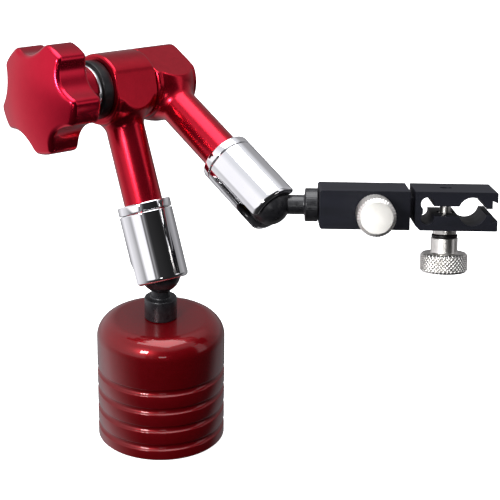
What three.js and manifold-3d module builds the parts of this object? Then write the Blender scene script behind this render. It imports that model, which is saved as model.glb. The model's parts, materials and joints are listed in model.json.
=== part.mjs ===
// A small magnetic-base holder for a dial indicator: round magnetic base, two arms with ball joints,
// a hub with one star knob that locks everything, a fine-adjustment block and a clamp block.
// Millimetres, +Z up. The origin is the centre of the base's bottom face.

import * as THREE from 'three';
import { mergeVertices } from 'three/addons/utils/BufferGeometryUtils.js';
import Module from 'manifold-3d';

const wasm = await Module();
wasm.setup();

// ---------------------------------------------------------------- driving dimensions

const FINE = 32;
const MEDIUM = 24;
const SMALL = 16;

const BASE = { radius: 19, height: 38, fillet: 5.8, chamfer: 0.3, cavityRadius: 16.2, cavityDepth: 14.1,
  grooveRadius: 1.1, grooveDepth: 0.8, grooveHeights: [4.2, 10.2, 16.2, 22.2],
  holeDepth: 10, holeRadius: 2.5 };
const POLE = { radius: 9.8, thickness: 4.5, stemRadius: 4.9, top: 14.0 };
const MAGNET = { inner: 5.1, outer: 15.9, bottom: 4.7, top: 13.9 };
const SPACER = { inner: 10.0, outer: 16.0, thickness: 4.5 };

const BALL = { radius: 6, neckRadius: 2.8, collarRadius: 4.8, shankRadius: 2.35, chamfer: 0.4 };
const LOWER_BALL_HEIGHT = 52.4;
const LOWER_COLLAR = { start: 7.8, end: 14.3, shank: 23.6 };
const UPPER_COLLAR = { start: 10.2, end: 13.9, shank: 20.0 };

const SLEEVE = { outer: 7.9, mouth: -2.6, end: 18.2, ballBore: 6.12, seatEnd: 9.4, tubeBore: 5.85,
  lipRound: 1.2 };
const SLOT = { halfWidth: 3.3, centre: 1.6 };
const LOCK_RING = { start: 18.4, end: 21.0, inner: 5.85 };
const SEAT = { radius: 5.85, cup: 6.1, rim: 5.1, end: 9.0 };
const TUBE = { outer: 5.7, inner: 3.0, start: 9.7 };
const ARM_LENGTH = 56;

const HUB = { radius: 10.4, length: 15.7, gap: 0.15, bore: 5.2, socketRadius: 5.85, socketDepth: 7.6,
  shoulder: 12.0, edge: 0.9 };
const FIRST_FLAT = { turn: 82, distance: 9.6 };
const SECOND_FLAT = { turn: 90, distance: 8.8 };
const HUB_PITCH = 16;
const ROD = { radius: 2.5, bore: 2.7, start: 9.1, tipRadius: 0.3, tipHeight: 0.9, gap: 0.15 };
const BOLT = { radius: 3.0, end: 34.5, headEnd: -15.4, chamfer: 0.4 };
const CONE = { slope: 0.22, halfLength: 4.0 };

const THRUST_RING = { start: 16.0, end: 19.6, outer: 8.7, inner: 3.3 };
const STEEL_WASHER = { start: 19.7, end: 20.9, outer: 7.9, inner: 3.3 };
const KNOB = { start: 27.4, end: 37.8, crown: 2.6, radius: 16.2, lobes: 5, lobeHalfAngle: 13.2,
  valleyRadius: 12.3, bossStart: 21.0, bossRadius: 7.6, bore: 4.6, boreDepth: 35.9 };
const INSERT = { start: 21.2, end: 34.6, outer: 4.45, inner: 3.15 };

const BLOCK = { halfDepth: 10, halfHeight: 5.5 };
const FINE_BLOCK = { left: 14.1, right: 39.5, shankRadius: 2.5, shankEnd: 20.4, corner: 0.8 };
const POCKET = { left: 24.5, halfDepth: 4.2, bottom: -3.3, top: 3.6 };
const TONGUE = { left: 25.0, halfDepth: 3.9, bottom: -2.6, top: 2.9 };
const PIVOT = { x: 36.0, z: 1.2, radius: 1.0, hole: 1.1, halfLength: 8.0, holeEnd: 8.1 };
const FINE_SCREW = { x: 29.4, z: -0.5, radius: 5.4, length: 10.4, gap: 1.35, shank: 1.9, hole: 2.0,
  headChamfer: 0.9, coneTip: 0.6, coneEnd: 2.2, tip: 3.0, clearance: 2.15 };
const FINE_RING = { outer: 3.2, inner: 2.0, start: 0.75, thickness: 0.5 };
const SPRING = { x: 26.2, radius: 0.9, wire: 0.22, groove: 0.12, bottom: -5.1, top: -2.95, hole: 1.2,
  holeBottom: -5.2, turns: 4 };

const CLAMP = { left: 40.9, right: 64.1, chamfer: 1.4, reliefX: 44.35, reliefZ: 2.03, reliefRadius: 1.85,
  slitLeft: 43.1, slitHalf: 1.45, boreX: 57.0, boreRadius: 4.0, landHalf: 0.88, landEnd: 62.6,
  dovetailMouth: 2.5, dovetailRoot: 3.1, edge: 0.4, topHole: 1.8, bottomHole: 2.6 };
const CLAMP_SCREW = { x: 50.4, thread: 1.6, threadEnd: -1.4, neck: 2.3, neckEnd: -2.0, collar: 3.85,
  collarTop: -8.65, collarBottom: -13.2, head: 6.8, headChamfer: 0.6, headBottom: -18.7, top: 4.6 };
const BUSH = { outer: 3.4, inner: 2.4, bottom: -7.75, gap: 0.05 };
const CLAMP_WASHER = { outer: 3.75, inner: 2.4, top: -7.85, bottom: -8.6 };

// ---------------------------------------------------------------- the pose the arms are locked in

const POSE = { lowerLean: 27.1, lowerLeanHeading: 123.6, lowerRoll: 193.9, hubAngle: 37.8, blockSwivel: -14.4,
  lowerSlotTurn: 58, knobTurn: -20.3 };

const rad = THREE.MathUtils.degToRad;
const UP = new THREE.Vector3(0, 0, 1);
const RIGHT = new THREE.Vector3(1, 0, 0);

const lowerBall = new THREE.Vector3(0, 0, LOWER_BALL_HEIGHT);
const lowerArm = new THREE.Vector3(
  Math.sin(rad(POSE.lowerLean)) * Math.cos(rad(POSE.lowerLeanHeading)),
  Math.sin(rad(POSE.lowerLean)) * Math.sin(rad(POSE.lowerLeanHeading)),
  Math.cos(rad(POSE.lowerLean)));
const across = new THREE.Vector3().crossVectors(lowerArm, UP).normalize();
const hubAxis = across.clone().applyAxisAngle(lowerArm, rad(POSE.lowerRoll));
const firstHub = lowerBall.clone().addScaledVector(lowerArm, ARM_LENGTH);
const secondHub = firstHub.clone().addScaledVector(hubAxis, -HUB_PITCH);
const hubMiddle = firstHub.clone().add(secondHub).multiplyScalar(0.5);
const upperArm = lowerArm.clone().negate().applyAxisAngle(hubAxis, rad(POSE.hubAngle));
const upperBall = secondHub.clone().addScaledVector(upperArm, ARM_LENGTH);

// A frame whose Z is along axis and whose X points as nearly as it can along towards.
function frame(origin, axis, towards) {
  const z = axis.clone().normalize();
  const y = new THREE.Vector3().crossVectors(z, towards).normalize();
  const x = new THREE.Vector3().crossVectors(y, z);
  return new THREE.Matrix4().makeBasis(x, y, z).setPosition(origin);
}

const leanBack = new THREE.Vector3(0, 0, -1).applyAxisAngle(lowerArm, rad(POSE.lowerSlotTurn));
const lowerSocket = frame(lowerBall, lowerArm, leanBack);
const upperSocket = frame(upperBall, upperArm.clone().negate(), RIGHT);
const hub = frame(hubMiddle, hubAxis, lowerArm.clone().negate());
const lowerStud = frame(lowerBall, UP.clone().negate(), RIGHT);
const upperStud = frame(upperBall, RIGHT, UP);
const block = new THREE.Matrix4().makeRotationX(rad(POSE.blockSwivel)).setPosition(upperBall);
const ground = new THREE.Matrix4();

// ---------------------------------------------------------------- shape helpers

// Merges shared vertices, drops empty triangles and turns the faces outward.
function closed(geometry) {
  const bare = geometry.clone();
  bare.deleteAttribute('normal');
  bare.deleteAttribute('uv');
  const merged = mergeVertices(bare, 1e-4);
  const position = merged.getAttribute('position');
  const index = merged.getIndex().array;
  const kept = [];
  let volume = 0;
  const [a, b, c] = [new THREE.Vector3(), new THREE.Vector3(), new THREE.Vector3()];
  for (let i = 0; i < index.length; i += 3) {
    const [p, q, r] = [index[i], index[i + 1], index[i + 2]];
    if (p === q || q === r || r === p) continue;
    kept.push(p, q, r);
    a.fromBufferAttribute(position, p);
    b.fromBufferAttribute(position, q);
    c.fromBufferAttribute(position, r);
    volume += a.dot(b.cross(c));
  }
  if (volume < 0) kept.reverse();
  merged.setIndex(kept);
  return merged;
}

function solid(geometry) {
  const shape = closed(geometry);
  const vertProperties = new Float32Array(shape.getAttribute('position').array);
  const triVerts = new Uint32Array(shape.getIndex().array);
  return new wasm.Manifold(new wasm.Mesh({ numProp: 3, vertProperties, triVerts }));
}

function surface(manifold) {
  const mesh = manifold.getMesh();
  const geometry = new THREE.BufferGeometry();
  geometry.setAttribute('position', new THREE.BufferAttribute(new Float32Array(mesh.vertProperties), 3));
  geometry.setIndex(Array.from(mesh.triVerts));
  return geometry;
}

function cut(geometry, ...tools) {
  return surface(tools.reduce((body, tool) => body.subtract(solid(tool)), solid(geometry)));
}

function join(geometry, ...others) {
  return surface(others.reduce((body, other) => body.add(solid(other)), solid(geometry)));
}

function meet(geometry, other) {
  return surface(solid(geometry).intersect(solid(other)));
}

// A turned piece about +Z from [radius, height] points; the outline closes on itself or on the axis.
function turned(outline, segments) {
  const points = outline.map(([r, z]) => new THREE.Vector2(r, z));
  return closed(new THREE.LatheGeometry(points, segments).rotateX(Math.PI / 2));
}

function ring(inner, outer, bottom, top, segments) {
  return turned([[inner, bottom], [outer, bottom], [outer, top], [inner, top], [inner, bottom]], segments);
}

function bar(radius, bottom, top, segments) {
  return turned([[0, bottom], [radius, bottom], [radius, top], [0, top]], segments);
}

function box(x0, x1, y0, y1, z0, z1) {
  return new THREE.BoxGeometry(x1 - x0, y1 - y0, z1 - z0)
    .translate((x0 + x1) / 2, (y0 + y1) / 2, (z0 + z1) / 2);
}

// Points of an arc in [radius, height] or any other plane, angles in degrees.
function arc(centreX, centreY, radius, from, to, steps) {
  const points = [];
  for (let i = 0; i <= steps; i += 1) {
    const angle = rad(from + (to - from) * i / steps);
    points.push([centreX + radius * Math.cos(angle), centreY + radius * Math.sin(angle)]);
  }
  return points;
}

// A plate in the XZ plane, from y0 to y1.
function plateXZ(shape, y0, y1, curveSegments) {
  const plate = new THREE.ExtrudeGeometry(shape, { depth: y1 - y0, bevelEnabled: false, curveSegments });
  return plate.rotateX(Math.PI / 2).translate(0, y1, 0);
}

function outline(points) {
  return new THREE.Shape(points.map(([x, y]) => new THREE.Vector2(x, y)));
}

function barAlongY(x, z, radius, y0, y1, segments) {
  return bar(radius, y0, y1, segments).rotateX(-Math.PI / 2).translate(x, 0, z);
}

// ---------------------------------------------------------------- materials

function paint(color, roughness, metalness) {
  return new THREE.MeshStandardMaterial({ color, roughness, metalness });
}

const darkRedPaint = paint(0x5e0a10, 0.2, 0.1);
const redAnodised = paint(0xb01020, 0.28, 0.7);
const chrome = paint(0xd8dade, 0.06, 1.0);
const blackOxide = paint(0x15161a, 0.35, 0.8);
const blackAnodised = paint(0x2c2d32, 0.42, 0.5);
const nickel = paint(0xcfd0cc, 0.2, 1.0);
const steel = paint(0x9a9c9e, 0.35, 1.0);
const magnetGrey = paint(0x4a4b4e, 0.5, 0.6);
const brass = paint(0xb08d4a, 0.35, 1.0);
const blackRubber = paint(0x101012, 0.75, 0.0);

const model = new THREE.Group();

function add(name, geometry, material, place) {
  const mesh = new THREE.Mesh(geometry, material);
  mesh.name = name;
  mesh.applyMatrix4(place);
  model.add(mesh);
}

// ---------------------------------------------------------------- base

function baseShell() {
  const { radius, height, fillet, chamfer, cavityRadius, cavityDepth, grooveRadius, grooveDepth } = BASE;
  const grooveHalf = Math.sqrt(grooveRadius ** 2 - (grooveRadius - grooveDepth) ** 2);
  const halfAngle = THREE.MathUtils.radToDeg(Math.asin(grooveHalf / grooveRadius));
  const profile = [[cavityRadius, 0], [radius - chamfer, 0], [radius, chamfer]];
  for (const z of BASE.grooveHeights) {
    const centre = radius + grooveRadius - grooveDepth;
    profile.push(...arc(centre, z, grooveRadius, 180 + halfAngle, 180 - halfAngle, 3));
  }
  profile.push(...arc(radius - fillet, height - fillet, fillet, 0, 90, 7));
  profile.push([BASE.holeRadius, height], [BASE.holeRadius, height - BASE.holeDepth]);
  profile.push([0, height - BASE.holeDepth], [0, cavityDepth], [cavityRadius, cavityDepth]);
  profile.push([cavityRadius, 0]);
  return turned(profile, FINE);
}

function basePole() {
  const { radius, thickness, stemRadius, top } = POLE;
  return turned([[0, 0], [radius, 0], [radius, thickness], [stemRadius, thickness], [stemRadius, top],
    [0, top]], MEDIUM);
}

add('base_shell', baseShell(), darkRedPaint, ground);
add('base_pole', basePole(), steel, ground);
add('base_magnet', ring(MAGNET.inner, MAGNET.outer, MAGNET.bottom, MAGNET.top, MEDIUM), magnetGrey, ground);
add('base_spacer_ring', ring(SPACER.inner, SPACER.outer, 0, SPACER.thickness, MEDIUM), brass, ground);

// ---------------------------------------------------------------- ball studs and sockets

// A ball at the origin with its neck, collar and shank along +Z.
function ballStud(collar) {
  const { radius, neckRadius, collarRadius, shankRadius, chamfer } = BALL;
  const neckAngle = THREE.MathUtils.radToDeg(Math.asin(neckRadius / radius));
  const profile = arc(0, 0, radius, -90, 90 - neckAngle, 11);
  profile[0][0] = 0;
  profile.push([neckRadius, collar.start]);
  profile.push([collarRadius - chamfer, collar.start], [collarRadius, collar.start + chamfer]);
  profile.push([collarRadius, collar.end - chamfer], [collarRadius - chamfer, collar.end]);
  profile.push([shankRadius, collar.end], [shankRadius, collar.shank - chamfer]);
  profile.push([shankRadius - chamfer, collar.shank], [0, collar.shank]);
  return turned(profile, MEDIUM);
}

// The socket's frame has the ball at its origin and the arm along +Z; slots open towards turns about Z.
function socketSleeve(slotTurns) {
  const { outer, mouth, end, ballBore, seatEnd, tubeBore, lipRound } = SLEEVE;
  const lipAngle = THREE.MathUtils.radToDeg(Math.asin(mouth / ballBore));
  const profile = arc(outer - lipRound, mouth + lipRound, lipRound, -90, 0, 3);
  profile.push([outer, end], [tubeBore, end], [tubeBore, seatEnd], [ballBore, seatEnd]);
  profile.push(...arc(0, 0, ballBore, 0, lipAngle, 3));
  profile.push([...profile[0]]);
  const slots = slotTurns.map((turn) => {
    const reach = outer + 1;
    const round = bar(SLOT.halfWidth, 0, reach, SMALL).rotateY(Math.PI / 2).translate(0, 0, SLOT.centre);
    const open = box(0, reach, -SLOT.halfWidth, SLOT.halfWidth, mouth - 1, SLOT.centre);
    return join(round, open).rotateZ(rad(turn));
  });
  return cut(turned(profile, FINE), ...slots);
}

function ballSeat() {
  const { radius, cup, rim, end } = SEAT;
  const rimAngle = THREE.MathUtils.radToDeg(Math.acos(rim / cup));
  const profile = arc(0, 0, cup, 90, rimAngle, 4);
  profile[0][0] = 0;
  profile.push([radius, cup * Math.sin(rad(rimAngle))], [radius, end], [0, end]);
  return turned(profile, MEDIUM);
}

function armTube() {
  return ring(TUBE.inner, TUBE.outer, TUBE.start, ARM_LENGTH - HUB.socketDepth, MEDIUM);
}

// The push rod ends in a shallow cone that bears on the bolt's cone.
function pushRod() {
  const { radius, start, tipRadius, tipHeight, gap } = ROD;
  const boltRadiusAtRod = BOLT.radius + CONE.slope * CONE.halfLength;
  const top = ARM_LENGTH - boltRadiusAtRod - gap;
  return turned([[0, start], [radius, start], [radius, top - tipHeight], [tipRadius, top], [0, top]], SMALL);
}

add('lower_ball_stud', ballStud(LOWER_COLLAR), blackOxide, lowerStud);
add('lower_ball_seat', ballSeat(), brass, lowerSocket);
add('lower_sleeve', socketSleeve([0]), chrome, lowerSocket);
add('lower_lock_ring', ring(LOCK_RING.inner, SLEEVE.outer, LOCK_RING.start, LOCK_RING.end, FINE), chrome,
  lowerSocket);
add('lower_arm_tube', armTube(), redAnodised, lowerSocket);
add('lower_push_rod', pushRod(), steel, lowerSocket);

add('upper_ball_stud', ballStud(UPPER_COLLAR), blackOxide, upperStud);
add('upper_ball_seat', ballSeat(), brass, upperSocket);
add('upper_sleeve', socketSleeve([0, 180]), chrome, upperSocket);
add('upper_lock_ring', ring(LOCK_RING.inner, SLEEVE.outer, LOCK_RING.start, LOCK_RING.end, FINE), chrome,
  upperSocket);
add('upper_arm_tube', armTube(), redAnodised, upperSocket);
add('upper_push_rod', pushRod(), steel, upperSocket);

// ---------------------------------------------------------------- hubs, tie bolt and knob

// A hub along Z from z0 to z1: a knuckle with a round shoulder and a socket at armTurn, and one flat.
function armHub(z0, z1, armTurn, flat) {
  const { radius, bore, edge, shoulder, socketRadius, socketDepth } = HUB;
  const knuckle = turned([[0, z0], [radius - edge, z0], [radius, z0 + edge], [radius, z1 - edge],
    [radius - edge, z1], [0, z1]], FINE);
  const middle = Math.sign(z0 + z1) * HUB_PITCH / 2;
  const profile = arc(0, 0, shoulder, -90, 90, 12);
  profile[0][0] = 0;
  profile[profile.length - 1][0] = 0;
  const dome = turned(profile, MEDIUM).translate(0, 0, middle);
  const side = meet(dome, box(0, shoulder + 1, -radius, radius, z0 + edge, z1 - edge)).rotateZ(armTurn);
  const socket = bar(socketRadius, socketDepth, shoulder + 1, MEDIUM);
  const rodBore = bar(ROD.bore, bore - 1, radius, SMALL);
  const armCuts = [socket, rodBore].map((tool) => tool.rotateY(Math.PI / 2).rotateZ(armTurn)
    .translate(0, 0, middle));
  const flatCut = box(flat.distance, shoulder, -shoulder, shoulder, z0 - 1, z1 + 1)
    .rotateZ(armTurn + rad(flat.turn));
  return cut(join(knuckle, side), bar(bore, z0 - 1, z1 + 1, MEDIUM), ...armCuts, flatCut);
}

// The tie bolt carries one cone under each push rod; both grow away from the knob.
function tieBolt() {
  const { radius, end, headEnd, chamfer } = BOLT;
  const halfPitch = HUB_PITCH / 2;
  const coneRadius = radius + 2 * CONE.halfLength * CONE.slope;
  const profile = [[0, headEnd], [coneRadius, headEnd], [coneRadius, -halfPitch - CONE.halfLength],
    [radius, -halfPitch + CONE.halfLength], [radius, -1], [coneRadius, 1],
    [coneRadius, halfPitch - CONE.halfLength], [radius, halfPitch + CONE.halfLength],
    [radius, end - chamfer], [radius - chamfer, end], [0, end]];
  return turned(profile, MEDIUM);
}

function starKnob() {
  const { start, end, crown, radius, lobes, lobeHalfAngle, valleyRadius, bossStart, bossRadius } = KNOB;
  const shape = new THREE.Shape();
  for (let i = 0; i < lobes; i += 1) {
    const lobe = rad(i * 360 / lobes);
    const half = rad(lobeHalfAngle);
    const next = rad((i + 1) * 360 / lobes);
    const corner = (angle) => [radius * Math.cos(angle), radius * Math.sin(angle)];
    if (i === 0) shape.moveTo(...corner(lobe - half));
    shape.absarc(0, 0, radius, lobe - half, lobe + half, false);
    const valley = (lobe + next) / 2;
    const pull = 2 * valleyRadius - radius * Math.cos(rad(180 / lobes) - half);
    shape.quadraticCurveTo(pull * Math.cos(valley), pull * Math.sin(valley), ...corner(next - half));
  }
  const depth = end + crown - start;
  const star = new THREE.ExtrudeGeometry(shape, { depth, bevelEnabled: false, curveSegments: 6 })
    .translate(0, 0, start);
  const domeRadius = (radius ** 2 + crown ** 2) / (2 * crown);
  const rim = THREE.MathUtils.radToDeg(Math.acos((radius + 1) / domeRadius));
  const face = arc(0, end + crown - domeRadius, domeRadius, rim, 90, 6);
  face[face.length - 1][0] = 0;
  const dome = turned([[0, start - 1], [radius + 1, start - 1], ...face], FINE);
  const boss = bar(bossRadius, bossStart, start + 1, MEDIUM);
  return cut(join(meet(star, dome), boss), bar(KNOB.bore, bossStart - 1, KNOB.boreDepth, SMALL));
}

const upInHub = UP.clone().applyMatrix4(new THREE.Matrix4().extractRotation(hub).invert());
const knobTop = Math.atan2(upInHub.y, upInHub.x);
const upperTurn = rad(POSE.hubAngle);

add('lower_hub', armHub(HUB.gap, HUB.length, 0, FIRST_FLAT), redAnodised, hub);
add('upper_hub', armHub(-HUB.length, -HUB.gap, upperTurn, SECOND_FLAT), redAnodised, hub);
add('tie_bolt', tieBolt(), steel, hub);
add('thrust_ring', ring(THRUST_RING.inner, THRUST_RING.outer, THRUST_RING.start, THRUST_RING.end, MEDIUM),
  blackRubber, hub);
add('steel_washer', ring(STEEL_WASHER.inner, STEEL_WASHER.outer, STEEL_WASHER.start, STEEL_WASHER.end,
  MEDIUM), steel, hub);
add('star_knob', starKnob().rotateZ(knobTop + rad(POSE.knobTurn)), redAnodised, hub);
add('knob_insert', ring(INSERT.inner, INSERT.outer, INSERT.start, INSERT.end, SMALL), brass, hub);

// ---------------------------------------------------------------- fine adjustment

function fineBlock() {
  const { left, right, shankRadius, shankEnd, corner } = FINE_BLOCK;
  const h = BLOCK.halfHeight;
  const side = outline([[left, -h + corner], [left + corner, -h], [right, -h], [right, h], [left + corner, h],
    [left, h - corner]]);
  const body = plateXZ(side, -BLOCK.halfDepth, BLOCK.halfDepth, 1);
  const pocket = box(POCKET.left, right + 1, -POCKET.halfDepth, POCKET.halfDepth, POCKET.bottom, POCKET.top);
  const studHole = bar(shankRadius, left - 1, shankEnd, SMALL).rotateY(Math.PI / 2);
  const pinHole = barAlongY(PIVOT.x, PIVOT.z, PIVOT.hole, -PIVOT.holeEnd, PIVOT.holeEnd, SMALL);
  const screwHole = barAlongY(FINE_SCREW.x, FINE_SCREW.z, FINE_SCREW.hole, -BLOCK.halfDepth - 1, 0, SMALL);
  const springHole = bar(SPRING.hole, SPRING.holeBottom, POCKET.bottom + 1, SMALL).translate(SPRING.x, 0, 0);
  return cut(body, pocket, studHole, pinHole, screwHole, springHole);
}

// A closed spring drawn as touching turns.
function returnSpring() {
  const { radius, wire, groove, bottom, top, turns } = SPRING;
  const pitch = (top - bottom) / turns;
  const profile = [[radius - wire, bottom], [radius, bottom]];
  for (let i = 0; i < turns; i += 1) {
    profile.push([radius, bottom + pitch * (i + 0.35)], [radius - groove, bottom + pitch * (i + 0.5)]);
    profile.push([radius, bottom + pitch * (i + 0.65)]);
  }
  profile.push([radius, top], [radius - wire, top], [radius - wire, bottom]);
  return turned(profile, SMALL).translate(SPRING.x, 0, 0);
}

// The fine screw runs along Y: knurled head in front of the block, cone tip inside the tongue's hole.
function fineScrew() {
  const { radius, length, gap, shank, headChamfer, coneTip, coneEnd, tip } = FINE_SCREW;
  const face = BLOCK.halfDepth + gap;
  const end = face + length;
  const profile = [[0, -tip], [coneTip, -tip], [shank, coneEnd], [shank, face], [radius - headChamfer, face],
    [radius, face + headChamfer], [radius, end - headChamfer], [radius - headChamfer, end], [0, end]];
  return turned(profile, MEDIUM).rotateX(Math.PI / 2).translate(FINE_SCREW.x, 0, FINE_SCREW.z);
}

add('fine_block', fineBlock(), blackAnodised, block);
add('pivot_pin', barAlongY(PIVOT.x, PIVOT.z, PIVOT.radius, -PIVOT.halfLength, PIVOT.halfLength, SMALL), steel,
  block);
add('return_spring', returnSpring(), steel, block);
add('fine_screw_ring', ring(FINE_RING.inner, FINE_RING.outer, BLOCK.halfDepth + FINE_RING.start,
  BLOCK.halfDepth + FINE_RING.start + FINE_RING.thickness, SMALL).rotateX(Math.PI / 2)
  .translate(FINE_SCREW.x, 0, FINE_SCREW.z), blackRubber, block);
add('fine_screw', fineScrew(), nickel, block);

// ---------------------------------------------------------------- clamp

function clampBlock() {
  const c = CLAMP;
  const h = BLOCK.halfHeight;
  const right = c.right;
  const side = outline([
    [c.left, -h + c.chamfer], [c.left + c.chamfer, -h], [right - c.edge, -h], [right, -h + c.edge],
    [right, -c.dovetailMouth], [c.landEnd, -c.dovetailRoot], [c.landEnd, c.dovetailRoot],
    [right, c.dovetailMouth], [right, h - c.edge], [right - c.edge, h], [c.left, h]]);
  const body = plateXZ(side, -BLOCK.halfDepth, BLOCK.halfDepth, 1);
  const tongue = box(TONGUE.left, c.left + 1, -TONGUE.halfDepth, TONGUE.halfDepth, TONGUE.bottom, TONGUE.top);
  const through = BLOCK.halfDepth + 1;
  const slit = box(c.slitLeft, c.boreX, -through, through, -c.slitHalf, c.slitHalf);
  const landSlit = box(c.boreX, c.landEnd + 1, -through, through, -c.landHalf, c.landHalf);
  const bore = barAlongY(c.boreX, 0, c.boreRadius, -through, through, FINE);
  const reliefs = [1, -1].map((side) => barAlongY(c.reliefX, side * c.reliefZ, c.reliefRadius, -through,
    through, SMALL));
  const topHole = bar(c.topHole, 0, h + 1, SMALL).translate(CLAMP_SCREW.x, 0, 0);
  const bottomHole = bar(c.bottomHole, -h - 1, 0, SMALL).translate(CLAMP_SCREW.x, 0, 0);
  const pinHole = barAlongY(PIVOT.x, PIVOT.z, PIVOT.hole, -through, through, SMALL);
  const coneHole = barAlongY(FINE_SCREW.x, FINE_SCREW.z, FINE_SCREW.clearance, -through, through, SMALL);
  return cut(join(body, tongue), slit, landSlit, bore, ...reliefs, topHole, bottomHole, pinHole, coneHole);
}

function clampScrew() {
  const s = CLAMP_SCREW;
  const faceRadius = s.head - s.headChamfer;
  const profile = [[0, s.headBottom], [faceRadius, s.headBottom], [s.head, s.headBottom + s.headChamfer],
    [s.head, s.collarBottom - s.headChamfer], [faceRadius, s.collarBottom], [s.collar, s.collarBottom],
    [s.collar, s.collarTop], [s.neck, s.collarTop], [s.neck, s.neckEnd], [s.thread, s.threadEnd],
    [s.thread, s.top], [0, s.top]];
  return turned(profile, MEDIUM).translate(s.x, 0, 0);
}

function clampBush() {
  const h = BLOCK.halfHeight;
  return ring(BUSH.inner, BUSH.outer, BUSH.bottom, -h - BUSH.gap, MEDIUM).translate(CLAMP_SCREW.x, 0, 0);
}

add('clamp_block', clampBlock(), blackAnodised, block);
add('clamp_bush', clampBush(), nickel, block);
add('clamp_washer', ring(CLAMP_WASHER.inner, CLAMP_WASHER.outer, CLAMP_WASHER.bottom, CLAMP_WASHER.top,
  MEDIUM).translate(CLAMP_SCREW.x, 0, 0), blackRubber, block);
add('clamp_screw', clampScrew(), nickel, block);

export default model;
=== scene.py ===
"""A magnetic-base indicator holder in a white studio.

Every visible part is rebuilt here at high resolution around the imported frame. Sizes are in millimetres in
each part's own frame, and places come from the joints of the frame's record.
"""

import json
import math

import bpy
import bmesh
import numpy as np
from mathutils import Matrix, Vector


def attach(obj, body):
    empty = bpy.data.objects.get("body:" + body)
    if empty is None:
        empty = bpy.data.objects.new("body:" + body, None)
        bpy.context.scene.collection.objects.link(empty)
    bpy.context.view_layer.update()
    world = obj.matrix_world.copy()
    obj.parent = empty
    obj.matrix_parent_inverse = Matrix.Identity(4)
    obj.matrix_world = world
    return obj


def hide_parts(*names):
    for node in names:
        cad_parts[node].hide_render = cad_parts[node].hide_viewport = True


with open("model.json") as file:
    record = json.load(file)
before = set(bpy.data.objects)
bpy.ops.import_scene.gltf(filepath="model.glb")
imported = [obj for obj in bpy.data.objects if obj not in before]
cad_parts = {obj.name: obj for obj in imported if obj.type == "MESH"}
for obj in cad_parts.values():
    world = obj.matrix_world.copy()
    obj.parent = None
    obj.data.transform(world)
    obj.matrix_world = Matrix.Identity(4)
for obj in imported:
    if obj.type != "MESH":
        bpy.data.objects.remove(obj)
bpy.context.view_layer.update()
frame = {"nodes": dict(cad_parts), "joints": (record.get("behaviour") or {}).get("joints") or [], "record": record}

MM = 0.001
NODES = frame["nodes"]
JOINTS = {joint["name"]: joint for joint in frame["joints"]}
BODY_OF = {node: body for body, nodes in frame["record"]["behaviour"]["bodies"].items() for node in nodes}

# ------------------------------------------------------------------ driving dimensions, millimetres

BALL_RADIUS = 6.0
NECK_RADIUS = 2.8
COLLAR_RADIUS = 4.8
SHANK_RADIUS = 2.35
STUD_EDGE = {"neck": 0.5, "collar": 0.35, "shank": 0.1, "end": 0.3}
LOWER_STUD = {"collar": 7.8, "shank": 14.3, "end": 23.6}
UPPER_STUD = {"collar": 10.2, "shank": 13.9, "end": 20.0}
SLEEVE = {"outer": 7.9, "mouth": -2.6, "end": 18.2, "ball_bore": 6.12, "seat_end": 9.4, "tube_bore": 5.85,
          "lip": 1.2, "slot_half": 3.3, "slot_centre": 1.6, "end_edge": 0.3, "bore_edge": 0.1}
LOCK_RING = {"inner": 5.85, "outer": 7.9, "start": 18.4, "end": 21.0, "edges": (0.3, 0.45), "bore_edge": 0.1}
TUBE_RADIUS = 5.7
TUBE = {"bore": 3.0, "start": 9.7, "chamfer": 0.2, "into_hub": 3.0}
ARM_LENGTH = 56.0
HUB = {"radius": 10.4, "near": 0.15, "far": 15.7, "bore": 5.2, "shoulder": 12.0, "edge": 0.9, "fillet": 2.0,
       "tube_end": 13.4, "middle": 8.0, "join": 0.3, "flat_edge": 0.25, "under_tube": 0.02}
LOWER_FLAT = {"turn": 82.0, "distance": 9.6}
UPPER_FLAT = {"turn": 90.0, "distance": 8.8}
LOWER_SLOT_TURN = 58.0
KNOB_TURN = -20.3
KNOB = {"back": 27.4, "front": 37.8, "crown": 2.6, "radius": 16.2, "valley": 12.3, "lobes": 5,
        "lobe_half": 13.2, "edge": 1.3, "middle": 33.0}
KNOB_BOSS = {"inner": 4.6, "outer": 7.6, "start": 21.0, "end": 27.6, "edges": (0.3, 0.2), "bore_edge": 0.2}
STAR_STEP = 0.25
STAR_SOFTNESS = 2.2
THRUST_RING = {"inner": 3.3, "outer": 8.7, "start": 16.0, "end": 19.6, "edges": (0.35, 0.35),
               "bore_edge": 0.15}
STEEL_WASHER = {"inner": 3.3, "outer": 7.9, "start": 19.7, "end": 20.9, "edges": (0.25, 0.25),
                "bore_edge": 0.15}
BLOCK_DEPTH = 10.0
BLOCK_HEIGHT = 5.5


def point_of(joint):
    return Vector(JOINTS[joint]["pos_m"])


def axis_of(joint):
    return Vector(JOINTS[joint]["axis"]).normalized()


def local_frame(origin, axis, towards):
    """A frame whose Z is along axis and whose X points as nearly as it can along towards."""
    z = axis.normalized()
    y = z.cross(towards).normalized()
    x = y.cross(z)
    matrix = Matrix((x, y, z)).transposed().to_4x4()
    matrix.translation = origin
    return matrix


UP = Vector((0, 0, 1))
RIGHT = Vector((1, 0, 0))
lower_ball = point_of("lower_tilt")
lower_arm = axis_of("lower_roll")
upper_ball = point_of("upper_tilt")
upper_arm = -axis_of("upper_rod_feed")
hub_middle = point_of("knob_turn")
hub_axis = axis_of("knob_turn")
block_y = axis_of("fine_tilt")
block_z = -axis_of("clamp_turn")

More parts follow.
